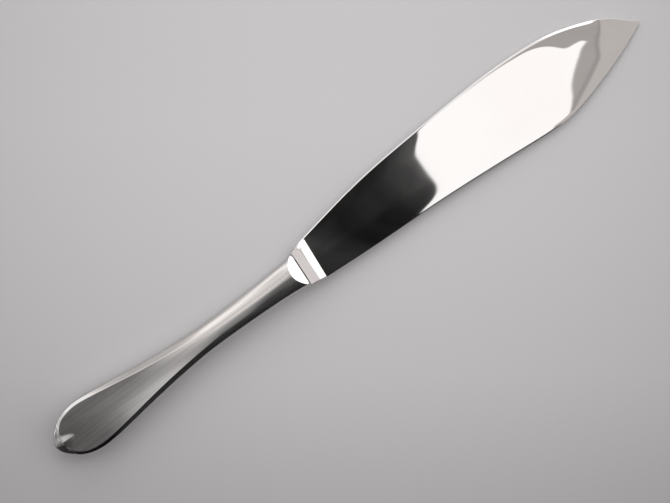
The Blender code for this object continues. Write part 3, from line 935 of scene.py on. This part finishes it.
# Black card over the heel half of the blade: levels along it, borders, and what varies its level
BLACK_CARD = ((-0.009, 0.045), (-0.0027, 0.040), (0.0013, 0.025), (0.0053, 0.0125), (0.0105, 0.0145),
              (0.0151, 0.0165), (0.0195, 0.022), (0.0239, 0.035), (0.0281, 0.054), (0.034, 0.085))
CARD_EARLY_ALONG = (-0.027, -0.018)
CARD_EARLY_ACROSS = (0.02, -0.06)
CARD_START_ALONG = (-0.0102, -0.0082)
CARD_ACROSS = (-0.45, 0.20, 0.04)
CARD_EDGE = 0.0340
CARD_EDGE_SOFTNESS = 0.0004
CARD_SLANT = 0.0064
CARD_BEND = 0.486
CARD_BEND_REACH = (-0.2, 0.08)
CARD_SIDES = (0.75, 1.25)
CARD_SIDES_ACROSS = (-0.03, 0.01)
CARD_CLOUDS = (0.8, 1.2)
CARD_CLOUD_NOISE = (1.0, 2.0, 0.5)
CARD_CLOUD_STEP = (0.35, 0.70)
CARD_CLOUDS_ALONG = 110.0
CARD_CLOUDS_ACROSS = 0.7
CARD_CLOUDS_CALM = 40.0
# White box over the front half of the blade: level, border with its corner, and the finger at its spine side
WHITE_BOX = 1.26
BOX_ACROSS = (-0.16, 0.16, 0.02)
BOX_EDGE = 0.0856
BOX_EDGE_SOFTNESS = 0.0008
BOX_SLANT = -0.130
BOX_BEND = 2.82
BOX_BEND_REACH = (-0.07, 0.12)
BOX_BULGE = 0.0010
BOX_BULGE_ACROSS = (-0.041, -0.024, 0.006)
BOX_CUT = 0.0015
BOX_CUT_ACROSS = (-0.042, -0.049)
FINGER_AT = 0.0868
FINGER_START = 0.06
FINGER_END = 0.1015
FINGER_HALF_WIDTH = 0.0255
FINGER_TAPER = -0.22
FINGER_WEIGHT = 0.5
FINGER_BLEND = 0.006
# Grey wall past the white box: levels before and after its seam, reach, and the strip of it by the spine
GREY_WALL = (0.45, 0.48)
FAR_WALL = (0.59, 0.605)
WALL_ALONG = (0.05, 0.30, 0.01)
WALL_ACROSS = (-0.3, 0.14, 0.02)
WALL_NOISE = (35.0, 2.0, 0.5)
WALL_NOISE_STEP = (0.3, 0.7)
WALL_SEAM = 0.36
SEAM_EDGE = 0.0993
SEAM_RISE = 0.002
SEAM_HALF_WIDTH = 0.0008
SEAM_SOFTNESS = 0.0014
SEAM_SLANT = -0.544
SEAM_BEND = -0.045
SEAM_BEND_REACH = (-0.12, 0.10)
SPINE_STRIP = ((0.05, 0.13, 0.006), (0.06, 0.14, 0.02))
SPINE_STRIP_EDGE = 0.148
SPINE_STRIP_SOFTNESS = 0.006
SPINE_STRIP_SLANT = 0.875
# Colours of the studio's light
STUDIO_COLOUR = (1.0, 0.985, 0.98, 1.0)
WARM_COLOUR = (1.0, 0.945, 0.915, 1.0)
WARM_ALONG = (-0.06, -0.007, 0.012)
WARM_ACROSS = (-0.01, 0.06)
BLUSH_COLOUR = (1.0, 0.955, 0.945, 1.0)
BLUSH_ALONG = (0.060, 0.080, 0.012)
WALL_COLOUR = (1.0, 0.935, 0.91, 1.0)
# Just over 1, so that the direction straight down has a slope too
SLOPE_MARGIN = 1.001


class StudioMaker(NodeMaker):
    """Adds the studio's lights by direction.

    A direction is read as the slope of the surface that mirrors it to the camera, with a part along the
    knife and a part across it: 0 is overhead, 1 the horizon.
    """

    def __init__(self, tree):
        super().__init__(tree)
        direction = self.add("ShaderNodeTexCoord").outputs["Generated"]
        parts = self.add("ShaderNodeSeparateXYZ", Vector=direction)
        height = self.math("ADD", parts.outputs["Z"], SLOPE_MARGIN)
        self.along = self.math("DIVIDE", parts.outputs["X"], height)
        self.level_across = self.math("DIVIDE", parts.outputs["Y"], height)
        self.across = self.math("ADD", self.level_across, math.tan(CAMERA_TILT) / 2)

    def patch(self, along, across):
        """1 in a soft-edged patch."""
        return self.times(self.span(self.along, *along), self.span(self.across, *across))

    def shade(self, level, mask, share):
        """Take a level down to a share of it where a mask is 1."""
        return self.times(level, self.mix(mask, 1.0, share))

    def hang(self, level, along, across, light):
        """Hang a card or box with one level of light."""
        return self.mix(self.patch(along, across), level, light)


def light_handle(make):
    """Levels over the handle: bright at the spine's side, dark behind the butt and at the edge's side."""
    level = make.levels(make.across, ACROSS_LEVELS)
    butt = make.levels(make.along, BUTT_LEVELS)
    level = make.shade(level, make.levels(make.across, BUTT_HOLD), butt)
    slanted = make.math("MULTIPLY_ADD", make.across, BEHIND_SLANT, make.along)
    behind = make.times(make.step(slanted, *BEHIND_SLANTED), make.step(make.along, *BEHIND_ALONG))
    level = make.shade(level, behind, BEHIND_SHADE)
    level = make.shade(level, make.patch(*BUTT_END), BUTT_END_SHADE)
    under_ridge = make.times(make.step(make.across, *UNDER_RIDGE_ACROSS),
                             make.span(make.along, *UNDER_RIDGE_ALONG))
    level = make.shade(level, under_ridge, UNDER_RIDGE_SHADE)
    for card in (BAND_CARD, HEEL_STRIP, FRONT_BOX):
        level = make.hang(level, *card)
    return level


def hang_black_card(make, level):
    """Hang the black card and return the level with it and the mask of what lies past its front border."""
    bend = make.limit(make.level_across, *CARD_BEND_REACH)
    slanted = make.bent(make.along, bend, CARD_SLANT, CARD_BEND)
    early = make.times(make.step(make.along, *CARD_EARLY_ALONG), make.step(make.across, *CARD_EARLY_ACROSS))
    begun = make.math("MAXIMUM", early, make.step(make.along, *CARD_START_ALONG))
    near = CARD_EDGE - CARD_EDGE_SOFTNESS
    far = CARD_EDGE + CARD_EDGE_SOFTNESS
    card = make.times(begun, make.step(slanted, far, near))
    card = make.times(card, make.span(make.across, *CARD_ACROSS))

    calm_across = make.math("TANH", make.times(make.across, CARD_CLOUDS_CALM))
    cloud_x = make.times(make.along, CARD_CLOUDS_ALONG)
    cloud_y = make.times(calm_across, CARD_CLOUDS_ACROSS)
    place = make.add("ShaderNodeCombineXYZ", X=cloud_x, Y=cloud_y).outputs["Vector"]
    clouds = make.step(make.noise(place, *CARD_CLOUD_NOISE), *CARD_CLOUD_STEP)
    sides = make.step(make.across, *CARD_SIDES_ACROSS)
    change = make.times(make.scale_to(clouds, *CARD_CLOUDS), make.scale_to(sides, *CARD_SIDES))
    card_level = make.times(make.levels(make.along, BLACK_CARD), change)
    return make.mix(card, level, card_level), make.step(slanted, near, far)


def box_finger(make):
    """How far a direction lies inside the finger that the white box points towards the spine."""
    off_line = make.math("ADD", make.math("SUBTRACT", make.across, make.along), FINGER_AT)
    half_width = make.math("MULTIPLY_ADD", make.along, FINGER_TAPER, FINGER_HALF_WIDTH)
    room = make.math("SUBTRACT", half_width, make.math("ABSOLUTE", off_line))
    finger = make.math("SMOOTH_MIN", make.times(room, FINGER_WEIGHT),
                       make.math("SUBTRACT", FINGER_END, make.along), FINGER_BLEND / 2)
    return make.math("MINIMUM", finger, make.math("SUBTRACT", make.along, FINGER_START))


def hang_white_box(make, level, past_card):
    """Hang the white box and return the level with it, the box's mask and the mask of what shows of it."""
    turned = make.bent(make.along, make.limit(make.across, *BOX_BEND_REACH), BOX_SLANT, BOX_BEND)
    bulge = make.times(make.span(make.across, *BOX_BULGE_ACROSS), BOX_BULGE)
    cut = make.times(make.step(make.across, *BOX_CUT_ACROSS), BOX_CUT)
    room = make.math("ADD", make.math("SUBTRACT", BOX_EDGE, turned), make.math("SUBTRACT", bulge, cut))
    room = make.math("SMOOTH_MAX", room, box_finger(make), FINGER_BLEND)
    in_box = make.step(room, -BOX_EDGE_SOFTNESS, BOX_EDGE_SOFTNESS)
    white = make.times(make.times(in_box, past_card), make.span(make.across, *BOX_ACROSS))
    return make.mix(white, level, WHITE_BOX), in_box, white


def hang_grey_wall(make, level, in_box):
    """Put up the grey wall past the white box and return the level with it and the wall's mask."""
    beside_box = make.times(make.math("SUBTRACT", 1.0, in_box), make.span(make.along, *WALL_ALONG))
    wall = make.times(beside_box, make.span(make.across, *WALL_ACROSS))
    strip = make.step(make.math("MULTIPLY_ADD", make.along, SPINE_STRIP_SLANT, make.across),
                      SPINE_STRIP_EDGE - SPINE_STRIP_SOFTNESS, SPINE_STRIP_EDGE + SPINE_STRIP_SOFTNESS)
    wall = make.math("MAXIMUM", wall, make.times(strip, make.patch(*SPINE_STRIP)))

    leaning = make.bent(make.along, make.limit(make.across, *SEAM_BEND_REACH), SEAM_SLANT, SEAM_BEND)
    place = make.add("ShaderNodeCombineXYZ", X=make.along, Y=make.across).outputs["Vector"]
    mottle = make.step(make.noise(place, *WALL_NOISE), *WALL_NOISE_STEP)
    wall_level = make.mix(make.step(leaning, SEAM_EDGE, SEAM_EDGE + SEAM_RISE),
                          make.scale_to(mottle, *GREY_WALL), make.scale_to(mottle, *FAR_WALL))
    seam = make.span(leaning, SEAM_EDGE - SEAM_HALF_WIDTH, SEAM_EDGE + SEAM_HALF_WIDTH, SEAM_SOFTNESS)
    return make.mix(wall, level, make.mix(seam, wall_level, WALL_SEAM)), wall


def tint_studio(make, white, wall):
    """Colour of the studio's light: warmer behind the heel, in the box's middle and on the wall."""
    warm = make.times(make.span(make.along, *WARM_ALONG), make.step(make.across, *WARM_ACROSS))
    colour = make.colour_mix(warm, STUDIO_COLOUR, WARM_COLOUR)
    blush = make.times(white, make.span(make.along, *BLUSH_ALONG))
    colour = make.colour_mix(blush, colour, BLUSH_COLOUR)
    return make.colour_mix(wall, colour, WALL_COLOUR)


def make_world():
    """Studio surroundings: a bright spine side, a black card overhead, white boxes and a dark edge side."""
    world = bpy.data.worlds.new("studio")
    world.use_nodes = True
    bpy.context.scene.world = world
    make = StudioMaker(world.node_tree)
    level = light_handle(make)
    level, past_card = hang_black_card(make, level)
    level, in_box, white = hang_white_box(make, level, past_card)
    level = make.hang(level, *TOP_BOX)
    level, wall = hang_grey_wall(make, level, in_box)
    for card in (FAR_BOX, BOX_GAP):
        level = make.hang(level, *card)
    background = make.add("ShaderNodeBackground", Strength=level, Color=tint_studio(make, white, wall))
    output = make.add("ShaderNodeOutputWorld")
    make.tree.links.new(background.outputs[0], output.inputs["Surface"])


def make_camera():
    """Camera nearly straight above, tilted a little towards the spine side, turned as in the photograph."""
    data = bpy.data.cameras.new("camera")
    data.sensor_width = SENSOR_WIDTH
    data.lens = SENSOR_WIDTH * CAMERA_DISTANCE / (PICTURE_WIDTH * METRES_PER_PIXEL)
    camera = bpy.data.objects.new("camera", data)
    bpy.context.scene.collection.objects.link(camera)
    aim = Vector(knife_origin()) + Vector((AIM_X, AIM_Y, AIM_Z))
    back = Vector((0.0, math.sin(CAMERA_TILT), math.cos(CAMERA_TILT)))
    up_hint = Vector((math.sin(AXIS_ANGLE), math.cos(AXIS_ANGLE), 0.0))
    right = up_hint.cross(back).normalized()
    up = back.cross(right)
    turn = Matrix((right, up, back)).transposed().to_4x4()
    camera.matrix_world = Matrix.Translation(aim + back * CAMERA_DISTANCE) @ turn
    bpy.context.scene.camera = camera


def dress_knife():
    """Build the visible pieces on the frame and give every surface its material."""
    mirror = polished_steel("mirror_steel")
    mirror_ferrule = polished_steel("mirror_ferrule_steel")
    band = satin_steel("ground_band_steel", *BAND_STEEL)
    scale = satin_steel("tang_scale_steel", *SCALE_STEEL)
    satin_upper = satin_steel("satin_steel_upper", *HANDLE_STEEL)
    satin_lower = satin_steel("satin_steel_lower", *HANDLE_STEEL)

    blade = make_blade([mirror, band, scale])
    upper_shell = make_shell("satin_upper_shell", 1, [satin_upper, mirror_ferrule])
    lower_shell = make_shell("satin_lower_shell", -1, [satin_lower, mirror_ferrule])
    ferrule = make_ferrule([mirror_ferrule])
    pieces = ((blade, "blade", "blade_steel"),
              (upper_shell, "handle_upper_shell", "satin_steel"),
              (lower_shell, "handle_lower_shell", "satin_steel"),
              (ferrule, "handle_ferrule", "ferrule_steel"))
    for piece, node, slot in pieces:
        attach(piece, "root")
        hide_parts(node)
    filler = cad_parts["handle_filler"]
    filler.data.materials.clear()
    filler.data.materials.append(cement_material())


def main():
    bpy.context.scene.view_settings.view_transform = "Standard"
    dress_knife()
    make_floor()
    make_world()
    make_camera()


main()
